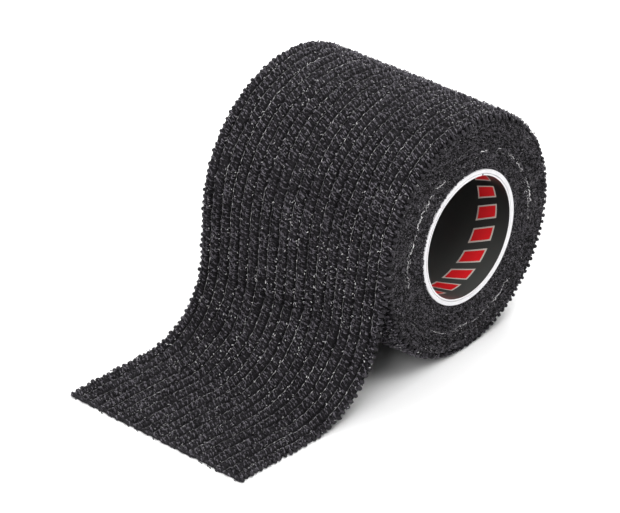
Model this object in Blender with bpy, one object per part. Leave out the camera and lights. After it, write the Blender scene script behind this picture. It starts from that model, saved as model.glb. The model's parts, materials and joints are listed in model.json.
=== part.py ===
"""Roll of elastic grip tape with its free end drawn off on to the floor.

The roll lies with its axis along Y, a flat of its last turn on the floor under the origin, and
its free end towards -X. The tape is cut into nodes where it bends: the turns that go round with
the core, the last turn, the curved drop to the floor and the flat end.
"""
import math

import bmesh
import bpy
import numpy as np

# Driving dimensions, in metres
TAPE_WIDTH = 0.0500
TAIL_WIDTH = 0.0496
TAPE_THICKNESS = 0.0010
ROLL_RADIUS = 0.0272
FLAT_DEPTH = 0.0005
TURN_GAP = 0.00045
SHOULDER_DROP = 0.0011
SHOULDER_WIDTH = 0.0033
BACK_SHOULDER_SHARE = 0.4
CORE_OUTER_RADIUS = 0.0150
CORE_WALL = 0.0009
CORE_LENGTH = 0.0504
CORE_EDGE_BEVEL = 0.0002
LINER_THICKNESS = 0.0003
LINER_RECESS = 0.0002
LINER_SEAM = 0.0010
FIT_GAP = 0.0003
DROP_BEND_RADIUS = 0.0195
TAIL_END_LENGTH = 0.0210

# Driving angles, in degrees round the roll from +X towards +Z
WRAP_START_ANGLE = -160.0
PEEL_ANGLE = 172.4
TAIL_YAW = 5.0
SEAM_ANGLE = 70.0

# Facets
ROUND_STEPS = 72
WRAP_STEPS = 68
DROP_STEPS = 16
END_STEPS = 4
SHOULDER_STEPS = 3
NOSE_ANGLES = (20.0, 45.0, 70.0, 90.0)

# Sizes that follow from the driving dimensions
AXIS_HEIGHT = ROLL_RADIUS - FLAT_DEPTH
HALF_THICKNESS = TAPE_THICKNESS / 2
MID_RADIUS = ROLL_RADIUS - HALF_THICKNESS
TURNS_OUTER_RADIUS = ROLL_RADIUS - TAPE_THICKNESS - TURN_GAP
TURNS_INNER_RADIUS = CORE_OUTER_RADIUS + FIT_GAP
CORE_INNER_RADIUS = CORE_OUTER_RADIUS - CORE_WALL
LINER_OUTER_RADIUS = CORE_INNER_RADIUS - FIT_GAP
LINER_INNER_RADIUS = LINER_OUTER_RADIUS - LINER_THICKNESS
LINER_LENGTH = CORE_LENGTH - 2 * LINER_RECESS
HINGE_SETBACK = HALF_THICKNESS + FIT_GAP

# The free tape leaves the roll on its tangent, runs straight, then bends to lie along the floor
LEAN = math.radians(180.0 - PEEL_ANGLE)
PEEL_X = MID_RADIUS * math.cos(math.radians(PEEL_ANGLE))
PEEL_Z = AXIS_HEIGHT + MID_RADIUS * math.sin(math.radians(PEEL_ANGLE))
BEND_HEIGHT = DROP_BEND_RADIUS * (1.0 - math.sin(LEAN))
STRAIGHT_LENGTH = (PEEL_Z - HALF_THICKNESS - BEND_HEIGHT) / math.cos(LEAN)
BEND_LENGTH = DROP_BEND_RADIUS * (math.pi / 2 - LEAN)
DROP_LENGTH = STRAIGHT_LENGTH + BEND_LENGTH

TAPE_BLACK = (0.018, 0.018, 0.020, 1.0)
CORE_WHITE = (0.80, 0.79, 0.81, 1.0)
LINER_BLACK = (0.010, 0.011, 0.011, 1.0)


def clear_scene():
    """Remove every object of the open scene."""
    for old in list(bpy.data.objects):
        bpy.data.objects.remove(old, do_unlink=True)


def make_material(name, colour, roughness):
    """Plain surface of one colour and roughness."""
    material = bpy.data.materials.new(name)
    material.use_nodes = True
    surface = material.node_tree.nodes["Principled BSDF"]
    surface.inputs["Base Color"].default_value = colour
    surface.inputs["Roughness"].default_value = roughness
    surface.inputs["Metallic"].default_value = 0.0
    return material


def make_empty(name, location, parent=None):
    """Axis marker that carries the pieces turning about it, placed in world coordinates."""
    empty = bpy.data.objects.new(name, None)
    bpy.context.collection.objects.link(empty)
    empty.location = location
    if parent is not None:
        empty.location = np.subtract(location, parent.location)
        empty.parent = parent
    return empty


def add_piece(name, mesh, material, parent=None):
    """Link a mesh as a named piece, shaded smooth except across its edges."""
    piece = bpy.data.objects.new(name, mesh)
    bpy.context.collection.objects.link(piece)
    mesh.materials.append(material)
    mesh.shade_smooth()
    mesh.set_sharp_from_angle(angle=math.radians(35.0))
    piece.parent = parent
    return piece


def turned_mesh(name, profile, steps, start=0.0, sweep=360.0):
    """Turn a closed (radius, y) profile about the Y axis, closing the ends of a part turn."""
    bm = bmesh.new()
    out = math.cos(math.radians(start))
    up = math.sin(math.radians(start))
    first = [bm.verts.new((radius * out, y, radius * up)) for radius, y in profile]
    face = bm.faces.new(first)
    turn_all = sweep >= 360.0
    if turn_all:
        edges = list(face.edges)
        bm.faces.remove(face)
        geometry = first + edges
    else:
        geometry = first + list(face.edges) + [face]
    bmesh.ops.spin(
        bm,
        geom=geometry,
        cent=(0.0, 0.0, 0.0),
        axis=(0.0, -1.0, 0.0),
        angle=math.radians(sweep),
        steps=steps,
        use_merge=turn_all,
    )
    bmesh.ops.recalc_face_normals(bm, faces=bm.faces)
    mesh = bpy.data.meshes.new(name)
    bm.to_mesh(mesh)
    bm.free()
    return mesh


def shoulder_stations():
    """Places across the tape and how far each one drops, as a share of the front shoulder's drop."""
    angle = np.linspace(0.0, math.pi / 2, SHOULDER_STEPS + 1)
    across = TAPE_WIDTH / 2 - SHOULDER_WIDTH * (1.0 - np.sin(angle))
    drop = 1.0 - np.cos(angle)
    return np.concatenate([-across[::-1], across]), np.concatenate([drop[::-1], BACK_SHOULDER_SHARE * drop])


def wrap_frame(angle):
    """Mid-surface of the last turn: centre, outward normal and yaw at angles in degrees."""
    turn = np.radians(angle)
    normal = np.stack([np.cos(turn), np.zeros_like(turn), np.sin(turn)], axis=1)
    centre = MID_RADIUS * normal + (0.0, 0.0, AXIS_HEIGHT)
    return centre, normal, np.zeros_like(turn)


def tail_frame(distance):
    """Mid-surface of the free tape at distances along it from the line where it peels off.

    The tape leans out by LEAN, then bends on a circle to the floor. Its yaw about the vertical
    grows smoothly down the drop, and the sideways drift is the sum of the yawed steps.
    """
    fine = np.linspace(-0.002, DROP_LENGTH + TAIL_END_LENGTH, 4001)
    bent = np.clip(fine - STRAIGHT_LENGTH, 0.0, BEND_LENGTH)
    slope = LEAN + bent / DROP_BEND_RADIUS
    share = np.clip(fine / (DROP_LENGTH - 2 * HINGE_SETBACK), 0.0, 1.0)
    yaw = math.radians(TAIL_YAW) * share * share * (3.0 - 2.0 * share)
    step = np.stack([-np.sin(slope) * np.cos(yaw), np.sin(slope) * np.sin(yaw), -np.cos(slope)], axis=1)
    middle = (step[1:] + step[:-1]) / 2 * np.diff(fine)[:, None]
    line = np.concatenate([np.zeros((1, 3)), np.cumsum(middle, axis=0)])
    place = np.stack([np.interp(distance, fine, line[:, axis]) for axis in range(3)], axis=1)
    peel = np.array([np.interp(0.0, fine, line[:, axis]) for axis in range(3)])
    centre = place - peel + (PEEL_X, 0.0, PEEL_Z)
    tilt = np.interp(distance, fine, slope)
    turn = np.interp(distance, fine, yaw)
    normal = np.stack([-np.cos(tilt) * np.cos(turn), np.cos(tilt) * np.sin(turn), np.sin(tilt)], axis=1)
    return centre, normal, turn


def strip_points(frame, half_thickness, droop):
    """Grid of points round the tape: sections along it, each going out along one face and back.

    The tape keeps its wound width where its edges droop, and springs back to its free width
    where they lie flat.
    """
    centre, normal, yaw = frame
    across, drop = shoulder_stations()
    side = np.stack([np.sin(yaw), np.cos(yaw), np.zeros_like(yaw)], axis=1)
    sunk = SHOULDER_DROP * droop[:, None] * drop[None, :]
    outer = half_thickness[:, None] - sunk
    inner = -half_thickness[:, None] - sunk
    width = TAIL_WIDTH + (TAPE_WIDTH - TAIL_WIDTH) * droop
    reach = across[None, :] * width[:, None] / TAPE_WIDTH
    base = centre[:, None, :] + reach[..., None] * side[:, None, :]
    top = base + outer[..., None] * normal[:, None, :]
    under = base + inner[..., None] * normal[:, None, :]
    return np.concatenate([top, under[:, ::-1]], axis=1)


def strip_mesh(name, points, origin):
    """Close a grid of sections into one solid, with its points measured from the given origin."""
    sections, ring = points.shape[:2]
    bm = bmesh.new()
    grid = [[bm.verts.new(point) for point in row] for row in points - np.asarray(origin)]
    for here, beyond in zip(grid[:-1], grid[1:]):
        for column in range(ring):
            after = (column + 1) % ring
            bm.faces.new((here[column], here[after], beyond[after], beyond[column]))
    for row in (grid[0], grid[sections - 1]):
        for column in range(ring // 2 - 1):
            mirror = ring - 1 - column
            bm.faces.new((row[column], row[column + 1], row[mirror - 1], row[mirror]))
    bmesh.ops.recalc_face_normals(bm, faces=bm.faces)
    mesh = bpy.data.meshes.new(name)
    bm.to_mesh(mesh)
    bm.free()
    return mesh


def nose_stations():
    """Round end of a strip about its own bend line: distance before the line and half thickness."""
    angle = np.radians(NOSE_ANGLES)
    return -HALF_THICKNESS * np.cos(angle), HALF_THICKNESS * np.sin(angle)


def droop_share(distance):
    """How much of the shoulder the free tape keeps: all at the peel line, none half-way down."""
    share = np.clip(2.0 * distance / DROP_LENGTH, 0.0, 1.0)
    return 1.0 - share * share * (3.0 - 2.0 * share)


def build_core_tube(axis, material):
    """Plain tube with its end edges lightly bevelled."""
    edge = CORE_LENGTH / 2
    profile = [
        (CORE_INNER_RADIUS, -edge),
        (CORE_OUTER_RADIUS, -edge),
        (CORE_OUTER_RADIUS, edge),
        (CORE_INNER_RADIUS, edge),
    ]
    tube = add_piece("core_tube", turned_mesh("core_tube", profile, ROUND_STEPS), material, axis)
    bevel = tube.modifiers.new("end_edges", "BEVEL")
    bevel.width = CORE_EDGE_BEVEL
    bevel.segments = 1
    bevel.limit_method = "ANGLE"
    bevel.angle_limit = math.radians(60.0)


def build_core_liner(axis, material):
    """Thin sheet rolled inside the tube, its two ends meeting at an open butt seam."""
    edge = LINER_LENGTH / 2
    seam = math.degrees(LINER_SEAM / LINER_INNER_RADIUS)
    profile = [
        (LINER_INNER_RADIUS, -edge),
        (LINER_OUTER_RADIUS, -edge),
        (LINER_OUTER_RADIUS, edge),
        (LINER_INNER_RADIUS, edge),
    ]
    mesh = turned_mesh("core_liner", profile, ROUND_STEPS, SEAM_ANGLE + seam / 2, 360.0 - seam)
    add_piece("core_liner", mesh, material, axis)


def build_wound_turns(axis, material):
    """The turns under the last one, as one ring with the tape's own rounded shoulders."""
    across, drop = shoulder_stations()
    outside = [(TURNS_OUTER_RADIUS - SHOULDER_DROP * d, y) for y, d in zip(across, drop)]
    inside = [(TURNS_INNER_RADIUS, TAPE_WIDTH / 2), (TURNS_INNER_RADIUS, -TAPE_WIDTH / 2)]
    mesh = turned_mesh("wound_turns", outside + inside, ROUND_STEPS)
    add_piece("wound_turns", mesh, material, axis)


def build_outer_turn(material):
    """The last turn, one open loop that ends short of the peel line and stands on a flat."""
    setback = math.degrees(HINGE_SETBACK / MID_RADIUS)
    angle = np.linspace(WRAP_START_ANGLE, PEEL_ANGLE - setback, WRAP_STEPS + 1)
    full = np.full_like(angle, HALF_THICKNESS)
    points = strip_points(wrap_frame(angle), full, np.ones_like(angle))
    turn = add_piece("outer_turn", strip_mesh("outer_turn", points, (0.0, 0.0, 0.0)), material)
    cutter_size = 2 * TAPE_WIDTH
    bpy.ops.mesh.primitive_cube_add(size=cutter_size, location=(0.0, 0.0, -cutter_size / 2))
    floor_cutter = bpy.context.object
    floor_cutter.name = "floor_cutter"
    floor_cutter.hide_render = True
    floor_cutter.display_type = "WIRE"
    cut = turn.modifiers.new("rest_flat", "BOOLEAN")
    cut.operation = "DIFFERENCE"
    cut.object = floor_cutter
    return points


def build_tail_drop(axis, material):
    """The tape from the peel line down to the floor, with a round end about the peel line."""
    before, nose = nose_stations()
    after = np.linspace(0.0, DROP_LENGTH - HINGE_SETBACK, DROP_STEPS + 1)[1:]
    distance = np.concatenate([before, after])
    half = np.concatenate([nose, np.full_like(after, HALF_THICKNESS)])
    points = strip_points(tail_frame(distance), half, droop_share(distance))
    add_piece("tail_drop", strip_mesh("tail_drop", points, axis.matrix_world.translation), material, axis)
    return points


def build_tail_end(axis, material):
    """The free end flat on the floor, with a round end about the line where it touches down."""
    before, nose = nose_stations()
    after = np.linspace(0.0, TAIL_END_LENGTH, END_STEPS + 1)[1:]
    distance = DROP_LENGTH + np.concatenate([before, after])
    half = np.concatenate([nose, np.full_like(after, HALF_THICKNESS)])
    points = strip_points(tail_frame(distance), half, np.zeros_like(distance))
    add_piece("tail_end", strip_mesh("tail_end", points, axis.matrix_world.translation), material, axis)


def report_gaps(turn_points, drop_points):
    """Measure the last turn's least gaps: to the turns under it and to its own free stretch."""
    radius = np.hypot(turn_points[..., 0], turn_points[..., 2] - AXIS_HEIGHT)
    facet_sag = radius.min(axis=0) * (1.0 - math.cos(math.radians(360.0 / WRAP_STEPS / 2)))
    across, drop = shoulder_stations()
    under = TURNS_OUTER_RADIUS - SHOULDER_DROP * np.concatenate([drop, drop[::-1]])
    layer_gap = (radius.min(axis=0) - facet_sag - under).min()
    start = turn_points[0].reshape(-1, 1, 3)
    own_gap = np.linalg.norm(start - drop_points.reshape(1, -1, 3), axis=2).min()
    print(f"least gap between the last turn and the turns under it: {layer_gap * 1000:.2f} mm")
    print(f"least gap between the last turn's start and its free stretch: {own_gap * 1000:.2f} mm")


def main():
    """Build the roll, its last turn and its free end."""
    clear_scene()
    tape = make_material("black_crepe_tape", TAPE_BLACK, 0.9)
    white = make_material("white_core", CORE_WHITE, 0.55)
    black = make_material("black_liner", LINER_BLACK, 0.25)
    touchdown = tail_frame(np.array([DROP_LENGTH]))[0][0]
    roll_axis = make_empty("roll_axis", (0.0, 0.0, AXIS_HEIGHT))
    peel_axis = make_empty("peel_axis", (PEEL_X, 0.0, PEEL_Z))
    touchdown_axis = make_empty("touchdown_axis", touchdown, peel_axis)
    bpy.context.view_layer.update()
    build_core_tube(roll_axis, white)
    build_core_liner(roll_axis, black)
    build_wound_turns(roll_axis, tape)
    turn_points = build_outer_turn(tape)
    drop_points = build_tail_drop(peel_axis, tape)
    build_tail_end(touchdown_axis, tape)
    report_gaps(turn_points, drop_points)
    print("peel line at", np.round((PEEL_X, 0.0, PEEL_Z), 6), "touchdown line at", np.round(touchdown, 6))


main()
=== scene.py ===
# %% [markdown]
# # A roll of black crepe grip tape
#
# The real thing is one long strip of stretchy knitted crepe, wound on a white tube with a glossy
# black sleeve inside it. The last turn has been peeled off and its free end lies on the table.
# Each piece below is worked out as an array of points and then handed to Blender as a mesh.

# %% Load the solid model
import json
import math

import bpy
import numpy as np
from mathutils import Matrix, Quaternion, Vector


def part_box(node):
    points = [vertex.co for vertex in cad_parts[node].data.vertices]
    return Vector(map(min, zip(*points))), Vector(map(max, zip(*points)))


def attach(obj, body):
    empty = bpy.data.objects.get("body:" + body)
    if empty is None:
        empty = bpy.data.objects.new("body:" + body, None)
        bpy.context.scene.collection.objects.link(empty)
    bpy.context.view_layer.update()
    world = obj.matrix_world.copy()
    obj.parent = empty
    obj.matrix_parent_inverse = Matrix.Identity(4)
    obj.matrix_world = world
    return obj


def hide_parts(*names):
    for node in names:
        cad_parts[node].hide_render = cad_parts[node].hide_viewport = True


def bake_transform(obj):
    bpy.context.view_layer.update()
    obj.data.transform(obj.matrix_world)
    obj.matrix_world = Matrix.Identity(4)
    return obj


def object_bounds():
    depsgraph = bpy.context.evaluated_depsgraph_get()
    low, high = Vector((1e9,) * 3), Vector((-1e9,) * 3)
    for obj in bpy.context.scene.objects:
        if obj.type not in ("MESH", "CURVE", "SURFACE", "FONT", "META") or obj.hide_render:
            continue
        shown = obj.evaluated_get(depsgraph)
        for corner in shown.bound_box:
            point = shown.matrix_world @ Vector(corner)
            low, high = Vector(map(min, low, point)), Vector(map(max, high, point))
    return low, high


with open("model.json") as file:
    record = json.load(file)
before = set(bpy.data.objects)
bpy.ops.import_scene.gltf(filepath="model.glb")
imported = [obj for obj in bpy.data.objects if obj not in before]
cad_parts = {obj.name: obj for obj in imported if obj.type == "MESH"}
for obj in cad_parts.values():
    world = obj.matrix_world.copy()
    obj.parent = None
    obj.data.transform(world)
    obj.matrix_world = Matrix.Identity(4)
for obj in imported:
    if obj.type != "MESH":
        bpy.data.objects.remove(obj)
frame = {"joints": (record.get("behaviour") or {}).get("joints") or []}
cad_low, cad_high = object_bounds()
scene = bpy.context.scene
print("solid model from", tuple(cad_low), "to", tuple(cad_high))

# %% [markdown]
# ## Sizes
#
# Places come from the solid model: its joints say where the roll's axis, the peel line and the
# touchdown line are, and its boxes give the radii. Only what the boxes can't say is given here.

# %% Sizes read from the model
MM = 0.001
TAU = 2.0 * math.pi
joints = {joint["name"]: joint for joint in frame["joints"]}
roll_axis = np.array(joints["roll_turn"]["pos_m"])
peel_line = np.array(joints["peel_lift"]["pos_m"])
touchdown = np.array(joints["end_fold"]["pos_m"])
fold_axis = np.array(joints["end_fold"]["axis"])

axis_height = roll_axis[2]
mid_radius = math.hypot(peel_line[0], peel_line[2] - axis_height)
peel_angle = math.atan2(peel_line[2] - axis_height, peel_line[0])
lean = math.pi - peel_angle
tail_yaw = math.atan2(fold_axis[0], fold_axis[1])
tape_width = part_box("outer_turn")[1].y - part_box("outer_turn")[0].y
half_tape = tape_width / 2
turns_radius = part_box("wound_turns")[1].x
core_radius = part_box("core_tube")[1].x
core_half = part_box("core_tube")[1].y
liner_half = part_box("core_liner")[1].y
print(f"mid radius {mid_radius / MM:.2f} mm, peel at {math.degrees(peel_angle):.1f} degrees")
print(f"tape {tape_width / MM:.1f} mm wide")

# %% [markdown]
# ## Small helpers
#
# Numpy makes whole grids of points at once. `ease` is the usual smooth step. `soft_noise` gives a
# random field that is the same in every run, because each field has its own seed. `picker` draws
# random numbers for a whole array of loops.

# %% Easing, noise and random numbers
LATTICE = 97


def ease(share):
    """Smooth step from 0 to 1: 3t² - 2t³, with t held between 0 and 1."""
    t = np.clip(share, 0.0, 1.0)
    return t * t * (3.0 - 2.0 * t)


def soft_noise(across, along, cell_across, cell_along, seed):
    """Random values from -1 to 1 on a lattice of cells, eased from corner to corner both ways."""
    lattice = np.random.default_rng(seed).uniform(-1.0, 1.0, (LATTICE, LATTICE))
    x, y = np.broadcast_arrays(across / cell_across, along / cell_along)
    i, j = np.floor(x).astype(int), np.floor(y).astype(int)
    fx, fy = ease(x - i), ease(y - j)
    i0, i1 = i % LATTICE, (i + 1) % LATTICE
    j0, j1 = j % LATTICE, (j + 1) % LATTICE
    near = lattice[i0, j0] * (1.0 - fx) + lattice[i1, j0] * fx
    far = lattice[i0, j1] * (1.0 - fx) + lattice[i1, j1] * fx
    return near * (1.0 - fy) + far * fy


def picker(rng, shape):
    """A function that draws an array of random numbers, always of one shape, between two limits."""
    return lambda low, high: rng.uniform(low, high, shape)


# %% Turning arrays into meshes
def mesh_object(name, points, face_groups, material, sharp=None):
    """Make an object from points and groups of faces with equal corner counts.

    The faces are turned round if the volume they enclose, the sum of a · (b × c) / 6 over a fan of
    triangles, comes out negative. Edges whose ends are both in the sharp set are shaded sharp.
    """
    corners = np.concatenate([group.ravel() for group in face_groups])
    sizes = np.concatenate([np.full(len(group), group.shape[1]) for group in face_groups])
    volume = 0.0
    for group in face_groups:
        for k in range(1, group.shape[1] - 1):
            a, b, c = points[group[:, 0]], points[group[:, k]], points[group[:, k + 1]]
            volume += (a * np.cross(b, c)).sum()
    if volume < 0.0:
        corners = np.concatenate([group[:, ::-1].ravel() for group in face_groups])
    starts = np.concatenate([[0], np.cumsum(sizes)[:-1]])
    mesh = bpy.data.meshes.new(name)
    mesh.vertices.add(len(points))
    mesh.loops.add(len(corners))
    mesh.polygons.add(len(sizes))
    mesh.vertices.foreach_set("co", points.astype(np.float32).ravel())
    mesh.loops.foreach_set("vertex_index", corners.astype(np.int32))
    mesh.polygons.foreach_set("loop_start", starts.astype(np.int32))
    mesh.update(calc_edges=True)
    mesh.validate()
    mesh.shade_smooth()
    if sharp is not None:
        ends = np.zeros(len(mesh.edges) * 2, np.int32)
        mesh.edges.foreach_get("vertices", ends)
        both = sharp[ends.reshape(-1, 2)].all(axis=1)
        mesh.attributes.new("sharp_edge", "BOOLEAN", "EDGE").data.foreach_set("value", both)
    mesh.materials.append(material)
    made = bpy.data.objects.new(name, mesh)
    scene.collection.objects.link(made)
    print(f"{name}: {len(points)} points, {len(sizes)} faces")
    return made


def ring_quads(rows, ring, first=0, wrap_rows=False):
    """Quads of a grid whose columns close into a ring, and whose rows may close as well."""
    row = np.arange(rows if wrap_rows else rows - 1)[:, None]
    column = np.arange(ring)[None, :]
    after, beyond = (column + 1) % ring, (row + 1) % rows
    quad = np.stack(np.broadcast_arrays(
        row * ring + column, row * ring + after, beyond * ring + after, beyond * ring + column,
    ), axis=-1)
    return first + quad.reshape(-1, 4)


def closed_strip(name, points, cap, material, sharp_columns=()):
    """A sheet with two faces: each row of points is a ring round it, and the cap's faces close both ends.

    Both ends and the given columns have sharp edges.
    """
    rows, ring = points.shape[:2]
    sharp = np.zeros((rows, ring), bool)
    sharp[[0, -1]] = True
    sharp[:, list(sharp_columns)] = True
    faces = [ring_quads(rows, ring), cap[:, ::-1], cap + (rows - 1) * ring]
    return mesh_object(name, points.reshape(-1, 3), faces, material, sharp.ravel())


def point_values(made, name, values):
    """Store one number per point of the mesh, for a material to read by name."""
    attribute = made.data.attributes.new(name, "FLOAT", "POINT")
    attribute.data.foreach_set("value", values.astype(np.float32).ravel())


# %% [markdown]
# ## Finishes
#
# The crepe is a very dark charcoal. Its colour follows a number stored at each point: the yarn's
# own tone, plus painted highlight on stitch tops and painted shade in the grooves. Fine fibre
# shows as a small bump.
# Four finishes of yarn serve the ground, the loops, the wound edges and the felt on them. Elastic
# is pale grey and the tube is white plastic. The sleeve's film is made with the sleeve.

# %% Node helpers
MIX_UNDER, MIX_OVER, MIX_RESULT = 6, 7, 2


def new_finish(name, colour, roughness):
    """A Principled material with one colour and roughness, its node tree and its surface node."""
    material = bpy.data.materials.new(name)
    material.use_nodes = True
    tree = material.node_tree
    surface = tree.nodes["Principled BSDF"]
    surface.inputs["Base Color"].default_value = (*colour, 1.0)
    surface.inputs["Roughness"].default_value = roughness
    return material, tree, surface


def add_node(tree, kind, links=(), **settings):
    """Add a node, set its properties, and link (input, output socket) pairs into it."""
    node = tree.nodes.new(kind)
    for key, value in settings.items():
        setattr(node, key, value)
    for socket, source in links:
        if hasattr(source, "is_linked"):
            tree.links.new(source, node.inputs[socket])
        else:
            node.inputs[socket].default_value = source
    return node


def math_node(tree, kind, *inputs):
    """Result of a Math node of one kind; each input is a socket or a number."""
    return add_node(tree, "ShaderNodeMath", enumerate(inputs), operation=kind).outputs[0]


def mix_colours(tree, share, under, over):
    """One colour laid over another by a share from 0 to 1; each is a socket or a colour."""
    links = [("Factor", share), (MIX_UNDER, under), (MIX_OVER, over)]
    return add_node(tree, "ShaderNodeMix", links, data_type="RGBA").outputs[MIX_RESULT]


def ramp_between(tree, source, stops):
    """Colour ramp through stops, each a place from 0 to 1 and a colour."""
    node = add_node(tree, "ShaderNodeValToRGB", [("Fac", source)])
    band = node.color_ramp
    while len(band.elements) < len(stops):
        band.elements.new(0.5)
    for element, (place, colour) in zip(band.elements, stops):
        element.position = place
        element.color = (*colour, 1.0)
    return node.outputs["Color"]


def fibre_bump(tree, surface, scale, strength, distance):
    """Fine fibre: noise in Object coordinates pushed into the surface's normal as a small bump."""
    place = add_node(tree, "ShaderNodeTexCoord")
    noise = add_node(tree, "ShaderNodeTexNoise", [
        ("Vector", place.outputs["Object"]), ("Scale", scale), ("Detail", 4.0), ("Roughness", 0.65),
    ])
    bump = add_node(tree, "ShaderNodeBump", [
        ("Height", noise.outputs["Fac"]), ("Strength", strength), ("Distance", distance),
    ])
    tree.links.new(bump.outputs["Normal"], surface.inputs["Normal"])
    return noise.outputs["Fac"]


# %% Yarn, elastic, tube and table
YARN_ROUGHNESS = 0.62
FIBRE_STRENGTH = 0.5
FIBRE_DEPTH = 0.10 * MM


def yarn_finish(name, dark, mid, light, scale, shine, grain=1.2):
    """Yarn: each point's stored number plus grain · (noise - ½) runs from dark through mid to light."""
    material, tree, surface = new_finish(name, mid, YARN_ROUGHNESS)
    surface.inputs["Specular IOR Level"].default_value = shine
    fibre = fibre_bump(tree, surface, scale, FIBRE_STRENGTH, FIBRE_DEPTH)
    # The stored number holds the yarn's own tone and, on the tape and the wound edges, painted highlight
    # and painted shade.
    tone_with_painted_light = add_node(tree, "ShaderNodeAttribute", attribute_name="tone_with_painted_light")
    rough = math_node(tree, "MULTIPLY", fibre, grain)
    mixed = math_node(tree, "ADD", tone_with_painted_light.outputs["Fac"], rough)
    shifted = math_node(tree, "SUBTRACT", mixed, grain / 2)
    colour = ramp_between(tree, shifted, [(0.0, dark), (0.5, mid), (1.0, light)])
    tree.links.new(colour, surface.inputs["Base Color"])
    return material


ground_crepe = yarn_finish(
    "ground_crepe", (0.0022, 0.0021, 0.0023), (0.0066, 0.0061, 0.0071), (0.0170, 0.0159, 0.0182),
    scale=3000.0, shine=0.04,
)
charcoal_yarn = yarn_finish(
    "charcoal_yarn", (0.0086, 0.0082, 0.0092), (0.0378, 0.0350, 0.0408), (0.152, 0.142, 0.163),
    scale=4200.0, shine=0.14, grain=1.8,
)
wound_crepe = yarn_finish(
    "wound_crepe_edges", (0.003, 0.003, 0.003), (0.0125, 0.0117, 0.0133), (0.100, 0.094, 0.105),
    scale=3900.0, shine=0.10, grain=6.0,
)
felt_yarn = yarn_finish(
    "felt_yarn", (0.004, 0.004, 0.004), (0.0220, 0.0205, 0.0237), (0.122, 0.114, 0.130),
    scale=4600.0, shine=0.12, grain=4.2,
)
elastic = yarn_finish(
    "grey_elastic", (0.018, 0.018, 0.018), (0.42, 0.41, 0.42), (0.90, 0.89, 0.90), scale=5000.0, shine=0.40,
)
white_tube, tube_tree, tube_surface = new_finish("white_tube", (0.84, 0.83, 0.85), 0.42)
tube_grain = fibre_bump(tube_tree, tube_surface, scale=900.0, strength=0.08, distance=0.05 * MM)
tube_tint = ramp_between(tube_tree, tube_grain, [(0.3, (0.77, 0.76, 0.78)), (0.7, (0.85, 0.84, 0.86))])
tube_tree.links.new(tube_tint, tube_surface.inputs["Base Color"])
table_top = new_finish("white_table", (0.92, 0.92, 0.92), 0.8)[0]
print("finishes:", len(bpy.data.materials))

# %% [markdown]
# ## The path of the tape
#
# One number, the distance along the tape from the peel line, says where any stitch is. Below zero
# the tape lies round the roll; above zero it leans out, bends to the table and runs flat. A fine
# table of centres and directions is worked out once, and every piece reads it.

# %% Path table
BEND_RADIUS = 19.5 * MM
END_LENGTH = 21.0 * MM
FREE_WIDTH = 49.6 * MM
HINGE_SETBACK = 0.8 * MM
SHOULDER_DROP = 1.1 * MM
SHOULDER_WIDTH = 3.3 * MM
BACK_SHOULDER = 0.4
TUCK_ANGLE = math.radians(-196.0)
TUCK_FROM = math.radians(-100.0)
TUCK_DEPTH = 0.80 * MM
TUCK_RELIEF = 0.62
LOFT = 0.16 * MM
CUT_SKEW = 0.55 * MM
SKEW_LENGTH = 15.0 * MM
SIDE_DRIFT = 0.18 * MM
CUT_BULGE = 0.28 * MM
CUT_RAG = 0.20 * MM
CUT_WAVE = 3.1 * MM
CUT_BACK = 0.62 * MM
PATH_BEFORE = 1.0 * MM
PATH_AFTER = 2.0 * MM
PATH_POINTS = 12001
RIB_COUNT = 19
rib_pitch = tape_width / RIB_COUNT

straight_length = (peel_line[2] - touchdown[2] - BEND_RADIUS * (1.0 - math.sin(lean))) / math.cos(lean)
drop_length = straight_length + BEND_RADIUS * (math.pi / 2 - lean)
tail_length = drop_length + END_LENGTH
wrap_length = (peel_angle - TUCK_ANGLE) * mid_radius

path_s = np.linspace(-wrap_length - PATH_BEFORE, tail_length + PATH_AFTER, PATH_POINTS)
on_roll = path_s < 0.0
roll_angle = peel_angle + np.minimum(path_s, 0.0) / mid_radius
slope = lean + np.clip(path_s - straight_length, 0.0, drop_length - straight_length) / BEND_RADIUS
path_yaw = tail_yaw * ease(path_s / (drop_length - 2 * HINGE_SETBACK))
run, rise = np.sin(slope), np.cos(slope)
step = np.stack([-run * np.cos(path_yaw), run * np.sin(path_yaw), -rise], axis=1)
free = np.cumsum(np.where(on_roll[:, None], 0.0, step) * (path_s[1] - path_s[0]), axis=0)
wound = np.stack([np.cos(roll_angle), np.zeros_like(roll_angle), np.sin(roll_angle)], axis=1)
path_centre = np.where(on_roll[:, None], roll_axis + mid_radius * wound, peel_line + free)
leaning = np.stack([-rise * np.cos(path_yaw), rise * np.sin(path_yaw), run], axis=1)
path_normal = np.where(on_roll[:, None], wound, leaning)
path_droop = np.where(on_roll, 1.0, 1.0 - ease(2.0 * path_s / drop_length))
tucked = ease((TUCK_FROM - roll_angle) / (TUCK_FROM - TUCK_ANGLE))
path_tuck = TUCK_DEPTH * tucked
path_drop = SHOULDER_DROP * path_droop * (1.0 - TUCK_RELIEF * tucked)
landing = np.array([np.interp(drop_length, path_s, path_centre[:, k]) for k in range(3)])
miss = np.linalg.norm(landing - touchdown)
print(f"tape drawn off {tail_length / MM:.1f} mm, lands {miss / MM:.3f} mm from the model's line")


# %% Placing points on the tape
def shoulder(across):
    """Share of the edge drop: 1 - √(1 - t²) over the last few millimetres, less of it at the back."""
    t = np.clip((np.abs(across) - half_tape + SHOULDER_WIDTH) / SHOULDER_WIDTH, 0.0, 1.0)
    return (1.0 - np.sqrt(1.0 - t * t)) * np.where(across > 0.0, BACK_SHOULDER, 1.0)


def along_path(values, along):
    """Read a table of the path at any distances along it."""
    return np.stack([np.interp(along, path_s, values[:, k]) for k in range(values.shape[1])], axis=-1)


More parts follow.
